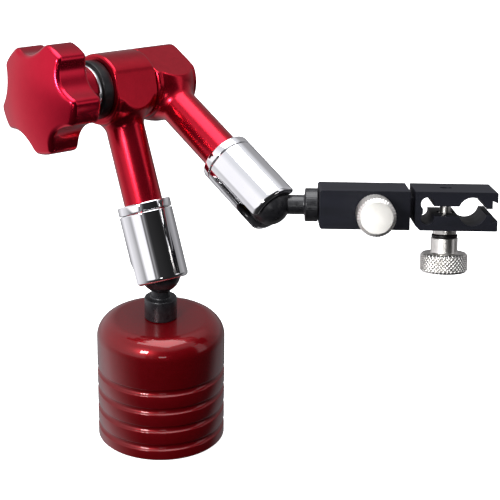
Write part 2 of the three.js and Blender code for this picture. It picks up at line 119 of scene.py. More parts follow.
slot_side = Matrix.Rotation(math.radians(LOWER_SLOT_TURN), 3, lower_arm) @ -UP
AT_GROUND = Matrix.Identity(4)
AT_LOWER_STUD = local_frame(lower_ball, -UP, RIGHT)
AT_LOWER_SOCKET = local_frame(lower_ball, lower_arm, slot_side)
AT_UPPER_SOCKET = local_frame(upper_ball, -upper_arm, RIGHT)
AT_UPPER_STUD = local_frame(upper_ball, RIGHT, UP)
AT_LOWER_HUB = local_frame(hub_middle, hub_axis, -lower_arm)
AT_UPPER_HUB = local_frame(hub_middle, hub_axis, upper_arm)
AT_KNOB = local_frame(hub_middle, hub_axis, UP) @ Matrix.Rotation(math.radians(KNOB_TURN), 4, "Z")
AT_BLOCK = Matrix((RIGHT, block_y, block_z)).transposed().to_4x4()
AT_BLOCK.translation = upper_ball


# ------------------------------------------------------------------ mesh helpers

EDGE_STEPS = 3
EDGE_ANGLE = 35
FIELD_REACH = 30.0
FIELD_HALVINGS = 36
GRADIENT_STEP = 0.02


def rounded(corners, radius=0.2, closed=False, steps=5):
    """A flat outline with its corners rounded; a corner may carry its own radius as a third value."""
    points = [Vector(corner[:2]) for corner in corners]
    result = []
    for i, corner in enumerate(points):
        own = corners[i][2] if len(corners[i]) > 2 else radius
        if own == 0 or (not closed and i in (0, len(points) - 1)):
            result.append(corner)
            continue
        before = points[i - 1] - corner
        after = points[(i + 1) % len(points)] - corner
        half = before.angle(after) / 2
        reach = min(own / math.tan(half), 0.48 * before.length, 0.48 * after.length)
        if reach < 1e-3:
            result.append(corner)
            continue
        middle = (before.normalized() + after.normalized()).normalized()
        centre = corner + middle * (reach / math.cos(half))
        start = corner + before.normalized() * reach - centre
        end = corner + after.normalized() * reach - centre
        for step in range(steps + 1):
            way = start.lerp(end, step / steps)
            result.append(centre + way.normalized() * start.length)
    return [(point.x, point.y) for point in result]


def arc(cx, cy, radius, start, end, steps):
    """Points along a circular arc, with angles in degrees."""
    angles = [math.radians(start + (end - start) * i / steps) for i in range(steps + 1)]
    return [(cx + radius * math.cos(a), cy + radius * math.sin(a)) for a in angles]


def make_object(name, verts, faces, place, sharp=32.0):
    """A mesh object from millimetre vertices in its own frame, smooth except at sharp edges."""
    mesh = bpy.data.meshes.new(name)
    mesh.from_pydata([tuple(MM * c for c in v) for v in verts], [], faces)
    shell = bmesh.new()
    shell.from_mesh(mesh)
    bmesh.ops.recalc_face_normals(shell, faces=shell.faces)
    shell.to_mesh(mesh)
    shell.free()
    mesh.shade_smooth()
    mesh.set_sharp_from_angle(angle=math.radians(sharp))
    thing = bpy.data.objects.new(name, mesh)
    bpy.context.scene.collection.objects.link(thing)
    thing.matrix_world = place
    return thing


def lathe(name, outline, place, closed=False, segments=192, relief=None, sharp=32.0):
    """A turned piece about Z from (radius, height) points.
    relief(radius, height, angle) moves a point outward."""
    turns = [2 * math.pi * i / segments for i in range(segments)]
    verts, faces, rings = [], [], []
    for radius, height in outline:
        if radius < 1e-6:
            rings.append([len(verts)] * segments)
            verts.append((0, 0, height))
            continue
        rings.append(list(range(len(verts), len(verts) + segments)))
        for turn in turns:
            r = radius + (relief(radius, height, turn) if relief else 0)
            verts.append((r * math.cos(turn), r * math.sin(turn), height))
    following = rings[1:] + (rings[:1] if closed else [])
    for lower, upper in zip(rings, following):
        for i in range(segments):
            j = (i + 1) % segments
            face = list(dict.fromkeys([lower[i], lower[j], upper[j], upper[i]]))
            if len(face) > 2:
                faces.append(face)
    return make_object(name, verts, faces, place, sharp)


def ring(name, size, place, segments=192):
    """A turned ring with rounded corners, from its inner and outer radius and its two ends."""
    first, last = size["edges"]
    outline = rounded([(size["inner"], size["start"]), (size["outer"], size["start"], first),
                       (size["outer"], size["end"], last), (size["inner"], size["end"])],
                      size["bore_edge"], closed=True)
    return lathe(name, outline, place, closed=True, segments=segments)


def prism(name, outline, low, high, place):
    """A plate with its outline in the XZ plane, from y = low to y = high."""
    count = len(outline)
    verts = [(x, y, z) for y in (low, high) for x, z in outline]
    faces = [list(range(count)), list(range(2 * count - 1, count - 1, -1))]
    faces += [[i, (i + 1) % count, count + (i + 1) % count, count + i] for i in range(count)]
    return make_object(name, verts, faces, place)


def block_box(x0, x1, y0, y1, z0, z1):
    return prism("cutter", [(x0, z0), (x1, z0), (x1, z1), (x0, z1)], y0, y1, AT_BLOCK)


def drill(x, z, radius, low, high, segments=72):
    """A cutting cylinder along the block's Y axis."""
    outline = [(x + px, z + pz) for px, pz in arc(0, 0, radius, 0, 360, segments)[:-1]]
    return prism("cutter", outline, low, high, AT_BLOCK)


def drill_down(x, radius, low, high):
    """A cutting cylinder along the block's Z axis."""
    place = AT_BLOCK @ Matrix.Translation((x * MM, 0, 0))
    outline = [(0, low), (radius, low), (radius, high), (0, high)]
    return lathe("cutter", outline, place, segments=72)


def carve(target, cutters, edge=0.0):
    """Cuts the cutters out of the target, rounds its sharp edges, and makes the result its mesh.
    Normals are weighted by face area, so that flat faces stay flat up to their rounded edges."""
    bpy.context.view_layer.update()
    for cutter in cutters:
        hole = target.modifiers.new("hole", "BOOLEAN")
        hole.object = cutter
        hole.operation = "DIFFERENCE"
        hole.solver = "EXACT"
    if edge:
        bevel = target.modifiers.new("edge", "BEVEL")
        bevel.width = edge * MM
        bevel.segments = EDGE_STEPS
        bevel.limit_method = "ANGLE"
        bevel.angle_limit = math.radians(EDGE_ANGLE)
    even = target.modifiers.new("even", "WEIGHTED_NORMAL")
    even.weight = 100
    even.keep_sharp = True
    target.data.shade_smooth()
    graph = bpy.context.evaluated_depsgraph_get()
    mesh = bpy.data.meshes.new_from_object(target.evaluated_get(graph))
    target.modifiers.clear()
    target.data = mesh
    for cutter in cutters:
        bpy.data.objects.remove(cutter)
    return target


def round_meet(a, b, radius):
    """What two solid fields share, with a rounded edge where they meet."""
    reach = np.hypot(np.maximum(radius + a, 0), np.maximum(radius + b, 0))
    return np.minimum(-radius, np.maximum(a, b)) + reach


def round_join(a, b, radius):
    """Two solid fields together, with a fillet where they meet."""
    reach = np.hypot(np.maximum(radius - a, 0), np.maximum(radius - b, 0))
    return np.maximum(radius, np.minimum(a, b)) - reach


def field_surface(name, field, centre, polar_from, polar_to, place, around, along, bore=None):
    """The surface of a solid field seen from its centre, with the field's own gradient as its normals.
    bore gives the radius of a straight hole about Z that joins the two open ends."""
    turn = np.linspace(0, 2 * math.pi, around, endpoint=False)
    polar = np.radians(np.linspace(polar_from, polar_to, along))
    polar, turn = np.meshgrid(polar, turn, indexing="ij")
    ray = np.stack([np.sin(polar) * np.cos(turn), np.sin(polar) * np.sin(turn), np.cos(polar)], -1)
    middle = np.array([0.0, 0.0, centre])
    inner = np.full(polar.shape, 1.0)
    outer = np.full(polar.shape, FIELD_REACH)
    for _ in range(FIELD_HALVINGS):
        half = (inner + outer) / 2
        inside = field(middle + ray * half[..., None]) < 0
        inner = np.where(inside, half, inner)
        outer = np.where(inside, outer, half)
    points = middle + ray * outer[..., None]
    steps = GRADIENT_STEP * np.eye(3)
    normals = np.stack([field(points + step) - field(points - step) for step in steps], -1)
    normals /= np.linalg.norm(normals, axis=-1, keepdims=True)
    verts = points.reshape(-1, 3)
    normals = normals.reshape(-1, 3)
    index = np.arange(along * around).reshape(along, around)
    following = np.roll(index, -1, axis=1)
    quads = np.stack([index[:-1], index[1:], following[1:], following[:-1]], -1).reshape(-1, 4).tolist()
    mesh = bpy.data.meshes.new(name)
    if bore:
        top, bottom = index[0], index[-1]
        quads += [[bottom[i], top[i], top[(i + 1) % around], bottom[(i + 1) % around]] for i in range(around)]
    mesh.from_pydata((verts * MM).tolist(), [], quads)
    mesh.shade_smooth()
    if not bore:
        mesh.normals_split_custom_set_from_vertices(normals.tolist())
    else:
        corner_normals = normals[[loop.vertex_index for loop in mesh.loops]]
        for polygon in mesh.polygons[-around:]:
            centre_line = verts[list(polygon.vertices)].mean(0)
            inward = -centre_line * np.array([1, 1, 0])
            corner_normals[list(polygon.loop_indices)] = inward / np.linalg.norm(inward)
        mesh.normals_split_custom_set(corner_normals.tolist())
    mesh.transform(place)
    thing = bpy.data.objects.new(name, mesh)
    bpy.context.scene.collection.objects.link(thing)
    return thing


# ------------------------------------------------------------------ materials


def shader(name, color, metallic, roughness, **sockets):
    """A principled material with constants on its sockets; gives the material, nodes, links and shader."""
    material = bpy.data.materials.new(name)
    material.use_nodes = True
    nodes, links = material.node_tree.nodes, material.node_tree.links
    principled = nodes["Principled BSDF"]
    principled.inputs["Base Color"].default_value = (*color, 1)
    principled.inputs["Metallic"].default_value = metallic
    principled.inputs["Roughness"].default_value = roughness
    for socket, value in sockets.items():
        principled.inputs[socket.replace("_", " ")].default_value = value
    return material, nodes, links, principled


def noise(nodes, links, scale, stretch=(1, 1, 1), detail=3.0):
    """Noise in the piece's own coordinates, with scale in cells per millimetre, stretched along an axis."""
    place = nodes.new("ShaderNodeTexCoord")
    mapping = nodes.new("ShaderNodeMapping")
    mapping.inputs["Scale"].default_value = [1000 * scale * s for s in stretch]
    texture = nodes.new("ShaderNodeTexNoise")
    texture.inputs["Scale"].default_value = 1.0
    texture.inputs["Detail"].default_value = detail
    links.new(place.outputs["Object"], mapping.inputs["Vector"])
    links.new(mapping.outputs["Vector"], texture.inputs["Vector"])
    return texture.outputs["Fac"]


def spread(nodes, links, source, low, high):
    """The source's middle range mapped from low to high."""
    ramp = nodes.new("ShaderNodeMapRange")
    ramp.inputs["From Min"].default_value = 0.3
    ramp.inputs["From Max"].default_value = 0.7
    ramp.inputs["To Min"].default_value = low
    ramp.inputs["To Max"].default_value = high
    links.new(source, ramp.inputs["Value"])
    return ramp.outputs["Result"]


def bump(nodes, links, principled, source, height):
    """Relief of that height in millimetres."""
    relief = nodes.new("ShaderNodeBump")
    relief.inputs["Distance"].default_value = height * MM
    relief.inputs["Strength"].default_value = 1.0
    links.new(source, relief.inputs["Height"])
    links.new(relief.outputs["Normal"], principled.inputs["Normal"])


def tint(nodes, links, principled, source, dark, light):
    """The base colour between two tones, by the source."""
    ramp = nodes.new("ShaderNodeValToRGB")
    ramp.color_ramp.elements[0].position = 0.35
    ramp.color_ramp.elements[0].color = (*dark, 1)
    ramp.color_ramp.elements[1].position = 0.65
    ramp.color_ramp.elements[1].color = (*light, 1)
    links.new(source, ramp.inputs["Fac"])
    links.new(ramp.outputs["Color"], principled.inputs["Base Color"])


def finish(name, dark, light, metallic, rough, grain=0.4, stretch=(1, 1, 1), relief=0.0, relief_grain=2.0,
           **sockets):
    """A finish with slightly uneven colour and roughness, and a fine relief."""
    material, nodes, links, principled = shader(name, light, metallic, rough[0], **sockets)
    uneven = noise(nodes, links, grain, stretch)
    tint(nodes, links, principled, uneven, dark, light)
    links.new(spread(nodes, links, uneven, *rough), principled.inputs["Roughness"])
    if relief:
        bump(nodes, links, principled, noise(nodes, links, relief_grain, stretch, 2.0), relief)
    return material


WAVE_PERIOD = 0.314


def turned_marks(name, dark, light, rough, pitch, height):
    """Bright metal with fine rings left by turning on faces square to the piece's Z axis."""
    material, nodes, links, principled = shader(name, light, 1.0, rough[0])
    uneven = noise(nodes, links, 0.5)
    tint(nodes, links, principled, uneven, dark, light)
    links.new(spread(nodes, links, uneven, *rough), principled.inputs["Roughness"])
    place = nodes.new("ShaderNodeTexCoord")
    wave = nodes.new("ShaderNodeTexWave")
    wave.wave_type = "RINGS"
    wave.rings_direction = "Z"
    wave.inputs["Scale"].default_value = WAVE_PERIOD / (pitch * MM)
    wave.inputs["Distortion"].default_value = 0.3
    wave.inputs["Detail"].default_value = 1.0
    links.new(place.outputs["Object"], wave.inputs["Vector"])
    bump(nodes, links, principled, wave.outputs["Fac"], height)
    return material


MATERIALS = {
    "base_paint": finish("base_paint", (0.145, 0.0008, 0.003), (0.155, 0.001, 0.004), 0.5, (0.33, 0.36), 0.6,
                         Specular_IOR_Level=0.1, Coat_Weight=1.0, Coat_Roughness=0.015, Coat_IOR=1.36),
    "pole_steel": turned_marks("pole_steel", (0.42, 0.42, 0.43), (0.5, 0.5, 0.51), (0.28, 0.38), 0.4, 0.002),
    "magnet": finish("magnet", (0.09, 0.09, 0.1), (0.14, 0.14, 0.15), 0.4, (0.5, 0.65), 0.6, relief=0.01),
    "spacer_brass": turned_marks("spacer_brass", (0.5, 0.34, 0.12), (0.6, 0.42, 0.17), (0.25, 0.35),
                                 0.4, 0.002),
    "black_stud": finish("black_stud", (0.012, 0.012, 0.014), (0.02, 0.02, 0.023), 0.3, (0.26, 0.38), 0.7,
                         relief=0.002, Specular_IOR_Level=0.6),
    "seat_bronze": finish("seat_bronze", (0.34, 0.2, 0.09), (0.42, 0.26, 0.12), 1.0, (0.3, 0.4), 0.5),
    "chrome": finish("chrome", (0.86, 0.86, 0.88), (0.9, 0.9, 0.91), 1.0, (0.03, 0.05), 0.1),
    "red_anodised": finish("red_anodised", (0.42, 0.004, 0.018), (0.45, 0.005, 0.02), 0.9, (0.22, 0.24), 0.5,
                           Coat_Weight=0.1, Coat_Roughness=0.2),
    "knob_red": finish("knob_red", (0.52, 0.003, 0.026), (0.54, 0.004, 0.028), 0.95, (0.2, 0.22), 0.4,
                       Coat_Weight=0.2, Coat_Roughness=0.15),
    "black_washer": finish("black_washer", (0.004, 0.004, 0.005), (0.007, 0.007, 0.008), 0.0, (0.3, 0.38),
                           0.8, relief=0.001, Specular_IOR_Level=0.3),
    "bright_steel": turned_marks("bright_steel", (0.62, 0.62, 0.64), (0.7, 0.7, 0.71), (0.14, 0.22),
                                 0.35, 0.001),
    "block_black": finish("block_black", (0.006, 0.0065, 0.01), (0.009, 0.0095, 0.015), 0.0, (0.4, 0.46), 0.3,
                          stretch=(0.15, 1, 1), relief=0.002, relief_grain=5.0, Specular_IOR_Level=0.14),
    "nickel": turned_marks("nickel", (0.82, 0.8, 0.76), (0.86, 0.84, 0.8), (0.28, 0.32), 0.3, 0.0015),
}


def settle(piece, node, slot):
    """The piece stands for the CAD node, moves with its body and wears the slot's finish if it has none."""
    if not piece.data.materials:
        piece.data.materials.append(MATERIALS[slot])
    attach(piece, BODY_OF[node])
    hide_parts(node)
    return piece


# ------------------------------------------------------------------ base

GROOVE = {"radius": 1.1, "depth": 0.8, "heights": (4.2, 10.2, 16.2, 22.2), "lip": 0.22, "lip_depth": 0.04,
          "lip_turn": 6}
BASE = {"radius": 19.0, "height": 38.0, "fillet": 5.8, "cavity": 16.2, "depth": 14.1, "hole": 2.5,
        "hole_depth": 10.0, "chamfer": 0.3}
POLE = {"face": 9.8, "face_end": 4.5, "core": 4.9, "end": 14.0}
SPACER = {"inner": 10.0, "outer": 16.0, "start": 0.0, "end": 4.5, "edges": (0.1, 0.1), "bore_edge": 0.1}


def base_outline():
    """Half the pot's section: grooved wall, rounded shoulder, stud hole and the cavity for the magnet."""
    radius, height, fillet, chamfer = BASE["radius"], BASE["height"], BASE["fillet"], BASE["chamfer"]
    points = [(BASE["cavity"], 0), (radius - chamfer, 0), (radius, chamfer)]
    centre = radius + GROOVE["radius"] - GROOVE["depth"]
    half = math.degrees(math.acos((centre - radius) / GROOVE["radius"]))
    edge = GROOVE["radius"] * math.sin(math.radians(half))
    lip, lip_radius = GROOVE["lip"], radius - GROOVE["lip_depth"]
    sweep = half - GROOVE["lip_turn"]
    for z in GROOVE["heights"]:
        points += [(radius, z - edge - lip), (lip_radius, z - edge - 0.3 * lip)]
        points += arc(centre, z, GROOVE["radius"], 180 + sweep, 180 - sweep, 14)
        points += [(lip_radius, z + edge + 0.3 * lip), (radius, z + edge + lip)]
    points += arc(radius - fillet, height - fillet, fillet, 0, 90, 32)
    points += [(BASE["hole"] + chamfer, height), (BASE["hole"], height - chamfer)]
    points += [(BASE["hole"], height - BASE["hole_depth"]), (0, height - BASE["hole_depth"])]
    points += [(0, BASE["depth"]), (BASE["cavity"], BASE["depth"])]
    return points


settle(lathe("holder_base", base_outline(), AT_GROUND, closed=True, segments=256), "base_shell", "base_paint")
pole = rounded([(0, 0), (POLE["face"], 0, 0.15), (POLE["face"], POLE["face_end"]),
                (POLE["core"], POLE["face_end"]), (POLE["core"], POLE["end"]), (0, POLE["end"])], 0.1)
settle(lathe("pole_disc", pole, AT_GROUND), "base_pole", "pole_steel")
settle(ring("spacer_ring", SPACER, AT_GROUND), "base_spacer_ring", "spacer_brass")

# ------------------------------------------------------------------ ball studs and sockets


RIBS = {"count": 48, "depth": 0.03}


def stud_outline(stud):
    """Half a ball stud's section: ball, neck, collar and shank."""
    neck_angle = math.degrees(math.asin(NECK_RADIUS / BALL_RADIUS))
    points = arc(0, 0, BALL_RADIUS, -90, 90 - neck_angle, 48)
    points[0] = (0, -BALL_RADIUS)
    edge = STUD_EDGE
    collar = [(NECK_RADIUS, points[-1][1] + 0.01), (NECK_RADIUS, stud["collar"], edge["neck"]),
              (COLLAR_RADIUS, stud["collar"], edge["collar"]), (COLLAR_RADIUS, stud["shank"], edge["collar"]),
              (SHANK_RADIUS, stud["shank"], edge["shank"]), (SHANK_RADIUS, stud["end"], edge["end"]),
              (0, stud["end"])]
    return points + rounded(collar)[1:]


def fine_ribs(radius, height, turn):
    """Very shallow straight knurling, only on a collar's outside."""
    if abs(radius - COLLAR_RADIUS) > 0.01:
        return 0
    return -RIBS["depth"] * (0.5 + 0.5 * math.cos(RIBS["count"] * turn))


settle(lathe("lower_stud", stud_outline(LOWER_STUD), AT_LOWER_STUD), "lower_ball_stud", "black_stud")
settle(lathe("upper_stud", stud_outline(UPPER_STUD), AT_UPPER_STUD, segments=288, relief=fine_ribs),
       "upper_ball_stud", "black_stud")


SLOT_WALL_LEAN = 0.25


def sleeve(name, place, turns):
    """A socket sleeve with a slot in its mouth at each turn; its slot walls and its inside wear the black stud
    finish as painted shade.
    """
    s = SLEEVE
    lip_end = math.degrees(math.asin(s["mouth"] / s["ball_bore"]))
    outline = arc(s["outer"] - s["lip"], s["mouth"] + s["lip"], s["lip"], -90, 0, 12)
    outline += rounded([(s["outer"], 0), (s["outer"], s["end"], s["end_edge"]),
                        (s["tube_bore"], s["end"], s["bore_edge"]), (s["tube_bore"], s["seat_end"])])[1:]
    outline += [(s["ball_bore"], s["seat_end"])] + arc(0, 0, s["ball_bore"], 0, lip_end, 12)
    body = lathe(name, outline, place, closed=True, segments=256)
    reach = s["outer"] + 2
    half, middle = s["slot_half"], s["slot_centre"]
    slot = [(half, s["mouth"] - 2), *arc(0, middle, half, 0, 180, 40), (-half, s["mouth"] - 2)]
    cutters = []
    for turn in turns:
        facing = Matrix.Rotation(math.radians(turn - 90), 4, "Z")
        cutters.append(prism("cutter", slot, 0, reach, place @ facing))
    carve(body, cutters)
    body.data.materials.append(MATERIALS["chrome"])
    # Painted shade: the second material, the black stud finish, goes on the slot walls and the inside in place of
    # chrome, to stand in for the shade there.
    body.data.materials.append(MATERIALS["black_stud"])
    for face in body.data.polygons:
        centre = face.center / MM
        across = Vector((-centre.y, centre.x, 0)).normalized()
        facing_slot = abs(face.normal.dot(across)) > SLOT_WALL_LEAN
        walls = facing_slot or (face.normal.z < -SLOT_WALL_LEAN and centre.z > 0)
        inside = centre.xy.length < s["ball_bore"] + 0.05
        # Faces inside the bore, and slot walls up to the top of the slot, get the black painted-shade material.
        face.material_index = 1 if inside or (walls and centre.z < middle + half + 0.5) else 0
    return body


def arm_tube(name, place):
    """A tube from inside its sleeve to inside its hub, with a chamfer at the sleeve's end."""
    bore, start, chamfer = TUBE["bore"], TUBE["start"], TUBE["chamfer"]
    end = ARM_LENGTH - HUB["tube_end"] + TUBE["into_hub"]
    outline = [(bore, start), (TUBE_RADIUS - chamfer, start), (TUBE_RADIUS, start + chamfer),
               (TUBE_RADIUS, end), (bore, end)]
    return lathe(name, outline, place, closed=True, segments=256)


for side, place, turns in (("lower", AT_LOWER_SOCKET, (0,)), ("upper", AT_UPPER_SOCKET, (0, 180))):
    settle(sleeve(side + "_socket", place, turns), side + "_sleeve", "chrome")
    settle(ring(side + "_ring", LOCK_RING, place, segments=256), side + "_lock_ring", "chrome")
    settle(arm_tube(side + "_tube", place), side + "_arm_tube", "red_anodised")

# ------------------------------------------------------------------ hubs, tie bolt and knob


def hub_field(points, direction, flat):
    """The hub around its own middle: knuckle, round shoulder, flat and the fillet to the tube along +X."""
    x, y = points[..., 0], points[..., 1]
    z = points[..., 2] - direction * HUB["middle"]
    waist = direction * (HUB["near"] + HUB["far"]) / 2
    ends = np.abs(points[..., 2] - waist) - (HUB["far"] - HUB["near"]) / 2
    knuckle = round_meet(np.hypot(x, y) - HUB["radius"], ends, HUB["edge"])
    ball = np.sqrt(x * x + y * y + z * z) - HUB["shoulder"]
    shoulder = np.maximum(np.maximum(ball, np.abs(y) - HUB["radius"]), -x)
    body = round_join(knuckle, round_meet(shoulder, ends, HUB["edge"]), HUB["join"])
    turn = math.radians(flat["turn"])
    plane = x * math.cos(turn) + y * math.sin(turn) - flat["distance"]
    body = round_meet(body, plane, HUB["flat_edge"])
    tube = np.hypot(y, z) - TUBE_RADIUS + HUB["under_tube"]
    tube = np.maximum(tube, np.maximum(-x, x - HUB["tube_end"]))
    return round_join(body, tube, HUB["fillet"])


def hub(name, place, direction, flat):
    """A hub on the positive (1) or negative (-1) side of the middle of the centre lock."""
    middle = direction * HUB["middle"]
    open_near = math.degrees(math.atan2(HUB["bore"], HUB["middle"] - HUB["near"]))
    open_far = math.degrees(math.atan2(HUB["bore"], HUB["far"] - HUB["middle"]))
    first, last = (open_far, 180 - open_near) if direction > 0 else (open_near, 180 - open_far)
    return field_surface(name, lambda p: hub_field(p, direction, flat), middle, first, last, place,
                         around=360, along=200, bore=HUB["bore"])


def knob_outline():
    """The star's radius at each degree, from its lobe arcs and the curves between them, slightly softened."""
    sector = 360 / KNOB["lobes"]
    half = math.radians(KNOB["lobe_half"])
    pull = 2 * KNOB["valley"] - KNOB["radius"] * math.cos(math.radians(sector / 2) - half)
    start = np.array([KNOB["radius"] * math.cos(half), KNOB["radius"] * math.sin(half)])
    valley = math.radians(sector / 2)
    middle = pull * np.array([math.cos(valley), math.sin(valley)])
    other = math.radians(sector) - half
    end = KNOB["radius"] * np.array([math.cos(other), math.sin(other)])
    t = np.linspace(0, 1, 60)[:, None]
    curve = (1 - t) ** 2 * start + 2 * t * (1 - t) * middle + t ** 2 * end
    angles = np.degrees(np.arctan2(curve[:, 1], curve[:, 0]))
    degrees = np.arange(0, 360, STAR_STEP)
    within = (degrees + KNOB["lobe_half"]) % sector - KNOB["lobe_half"]
    radius = np.where(within <= KNOB["lobe_half"], KNOB["radius"],
                      np.interp(within, angles, np.linalg.norm(curve, axis=1)))
    spreads = np.arange(-40, 41)
    weights = np.exp(-((spreads * STAR_STEP / STAR_SOFTNESS) ** 2) / 2)
    soft = sum(w * np.roll(radius, s) for s, w in zip(spreads, weights)) / weights.sum()
    return degrees, soft


STAR_DEGREES, STAR_RADIUS = knob_outline()
STAR_SLOPE = np.gradient(STAR_RADIUS, np.radians(STAR_STEP))


def knob_field(points):
    """The star under a domed front face, with rounded rims."""
    x, y, z = points[..., 0], points[..., 1], points[..., 2]
    turn = np.degrees(np.arctan2(y, x)) % 360
    radius = np.interp(turn, STAR_DEGREES, STAR_RADIUS, period=360)
    slope = np.interp(turn, STAR_DEGREES, STAR_SLOPE, period=360)
    star = (np.hypot(x, y) - radius) / np.sqrt(1 + (slope / radius) ** 2)
    dome_radius = (KNOB["radius"] ** 2 + KNOB["crown"] ** 2) / (2 * KNOB["crown"])
    top = KNOB["front"] + KNOB["crown"]
    dome = np.sqrt(x * x + y * y + (z - top + dome_radius) ** 2) - dome_radius
    body = round_meet(star, dome, KNOB["edge"])
    return round_meet(body, KNOB["back"] - z, KNOB["edge"])


settle(hub("lower_knuckle", AT_LOWER_HUB, 1, LOWER_FLAT), "lower_hub", "red_anodised")
settle(hub("upper_knuckle", AT_UPPER_HUB, -1, UPPER_FLAT), "upper_hub", "red_anodised")

settle(field_surface("knob", knob_field, KNOB["middle"], 0.5, 179.5, AT_KNOB, around=480, along=220),
       "star_knob", "knob_red")
knob_boss = ring("knob_boss", KNOB_BOSS, AT_KNOB)
knob_boss.data.materials.append(MATERIALS["knob_red"])
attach(knob_boss, BODY_OF["star_knob"])

settle(ring("thrust_washer", THRUST_RING, AT_LOWER_HUB), "thrust_ring", "black_washer")
settle(ring("bright_washer", STEEL_WASHER, AT_LOWER_HUB), "steel_washer", "bright_steel")

# ------------------------------------------------------------------ fine adjustment block

FINE = {"left": 14.1, "right": 39.5, "corner": 0.8, "pocket": 24.5, "pocket_half": 4.2, "floor": -3.3,
        "roof": 3.6, "screw_x": 29.4, "screw_z": -0.5, "screw_hole": 2.0, "head": 5.4, "head_start": 11.35,
        "head_length": 10.4, "head_chamfer": 0.9, "knurl": 0.9, "knurl_depth": 0.22, "edge": 0.22}
FINE_SHANK = {"under_head": 5.0, "radius": 1.9, "cone_start": 19.5, "tip": 0.6, "end": 24.7}
FINE_RING = {"inner": 2.0, "outer": 3.2, "start": 10.75, "end": 11.25, "edges": (0.12, 0.12),
             "bore_edge": 0.12}
PIVOT = {"x": 36.0, "z": 1.2, "hole": 1.1, "hole_half": 8.1}
KNURL_ROWS = 48


def fine_body():
    """The block with a pocket for the clamp's tongue, the screw's hole and the pivot's hole."""
    h = BLOCK_HEIGHT
    outline = rounded([(FINE["left"], -h, FINE["corner"]), (FINE["right"], -h, 0), (FINE["right"], h, 0),
                       (FINE["left"], h, FINE["corner"])], closed=True, steps=6)
    body = prism("fine_housing", outline, -BLOCK_DEPTH, BLOCK_DEPTH, AT_BLOCK)
    half = FINE["pocket_half"]
    cutters = [block_box(FINE["pocket"], FINE["right"] + 1, -half, half, FINE["floor"], FINE["roof"]),
               drill(FINE["screw_x"], FINE["screw_z"], FINE["screw_hole"], -BLOCK_DEPTH - 1, 0),
               drill(PIVOT["x"], PIVOT["z"], PIVOT["hole"], -PIVOT["hole_half"], PIVOT["hole_half"], 32)]
    return carve(body, cutters, edge=FINE["edge"])


def knurl_cells(radius, pitch):
    """A field over height and angle that is 0 in the grooves of a knurl and 1 on its points."""
    count = round(2 * math.pi * radius / pitch)

    def cells(height, turn):
        across = count * turn / (2 * math.pi)
        along = height / pitch
        first = abs(math.sin(math.pi * (across + along)))
        second = abs(math.sin(math.pi * (across - along)))
        return min(1.0, 1.25 * min(first, second))
    return cells


def knurled_head(name, place, radius, low, high, chamfer, rest, pitch, depth):
    """A head with a knurled rim between low and high; rest is the outline that follows from its top edge."""
    rise = (high - low - 2 * chamfer) / KNURL_ROWS
    rim = [(radius, low + chamfer + rise * i) for i in range(KNURL_ROWS + 1)]
    face = rounded([(0, low), (radius - chamfer, low, 0.15), (radius, low + chamfer, 0)])
    outline = [(0, low), *face[1:-1]]
    outline += rim + [(radius - chamfer, high)] + rest
    cells = knurl_cells(radius, pitch)

    def relief(r, height, turn):
        if r < radius - 1e-6:
            return 0
        return -depth * (1 - cells(height, turn))
    return lathe(name, outline, place, segments=360, relief=relief, sharp=50)


settle(fine_body(), "fine_block", "block_black")

AT_FINE_SCREW = AT_BLOCK @ Matrix.Translation((FINE["screw_x"] * MM, 0, FINE["screw_z"] * MM)) \
    @ Matrix.Rotation(math.radians(90), 4, "X")
head_end = FINE["head_start"] + FINE["head_length"]
AT_FINE_HEAD = AT_FINE_SCREW @ Matrix.Translation((0, 0, head_end * MM)) @ Matrix.Rotation(math.pi, 4, "X")
shank = FINE_SHANK
screw_tail = rounded([(shank["under_head"], FINE["head_length"]), (shank["radius"], FINE["head_length"]),
                      (shank["radius"], shank["cone_start"]), (shank["tip"], shank["end"]),
                      (0, shank["end"])], 0.1)
fine_head = knurled_head("fine_knob", AT_FINE_HEAD, FINE["head"], 0, FINE["head_length"],
                         FINE["head_chamfer"], screw_tail[1:], FINE["knurl"], FINE["knurl_depth"])
settle(fine_head, "fine_screw", "nickel")
settle(ring("fine_ring", FINE_RING, AT_FINE_SCREW, segments=96), "fine_screw_ring", "black_washer")

# ------------------------------------------------------------------ clamp block and thumbscrew

CLAMP = {"left": 40.9, "right": 64.1, "chamfer": 1.4, "relief_x": 44.35, "relief_z": 2.03, "relief": 1.85,
         "slit_left": 43.1, "slit": 1.45, "bore_x": 57.0, "bore": 4.0, "land": 0.88, "land_end": 62.6,
         "mouth": 2.5, "root": 3.1, "top_hole": 1.8, "bottom_hole": 2.6, "screw_x": 50.4, "middle": 50.0,
         "corner": 0.4, "edge": 0.16}
TONGUE = {"left": 25.0, "low": -2.6, "high": 2.9, "into_block": 0.6, "half": 3.9, "corner": 0.3,
          "screw_hole": 2.15, "edge": 0.12}
BUSH = {"inner": 2.4, "outer": 3.4, "start": -7.75, "end": -5.55, "edges": (0.2, 0.2), "bore_edge": 0.1}
CLAMP_WASHER = {"inner": 2.4, "outer": 3.75, "start": -8.6, "end": -7.85, "edges": (0.2, 0.2),
                "bore_edge": 0.1}
THUMB = {"radius": 6.8, "low": -18.7, "high": -13.2, "chamfer": 0.6, "knurl": 1.2, "knurl_depth": 0.3,
         "collar": 3.85, "collar_end": -8.65, "neck": 2.3, "neck_end": -2.0, "tip": 1.6, "tip_start": -1.4,
         "tip_end": 4.6}


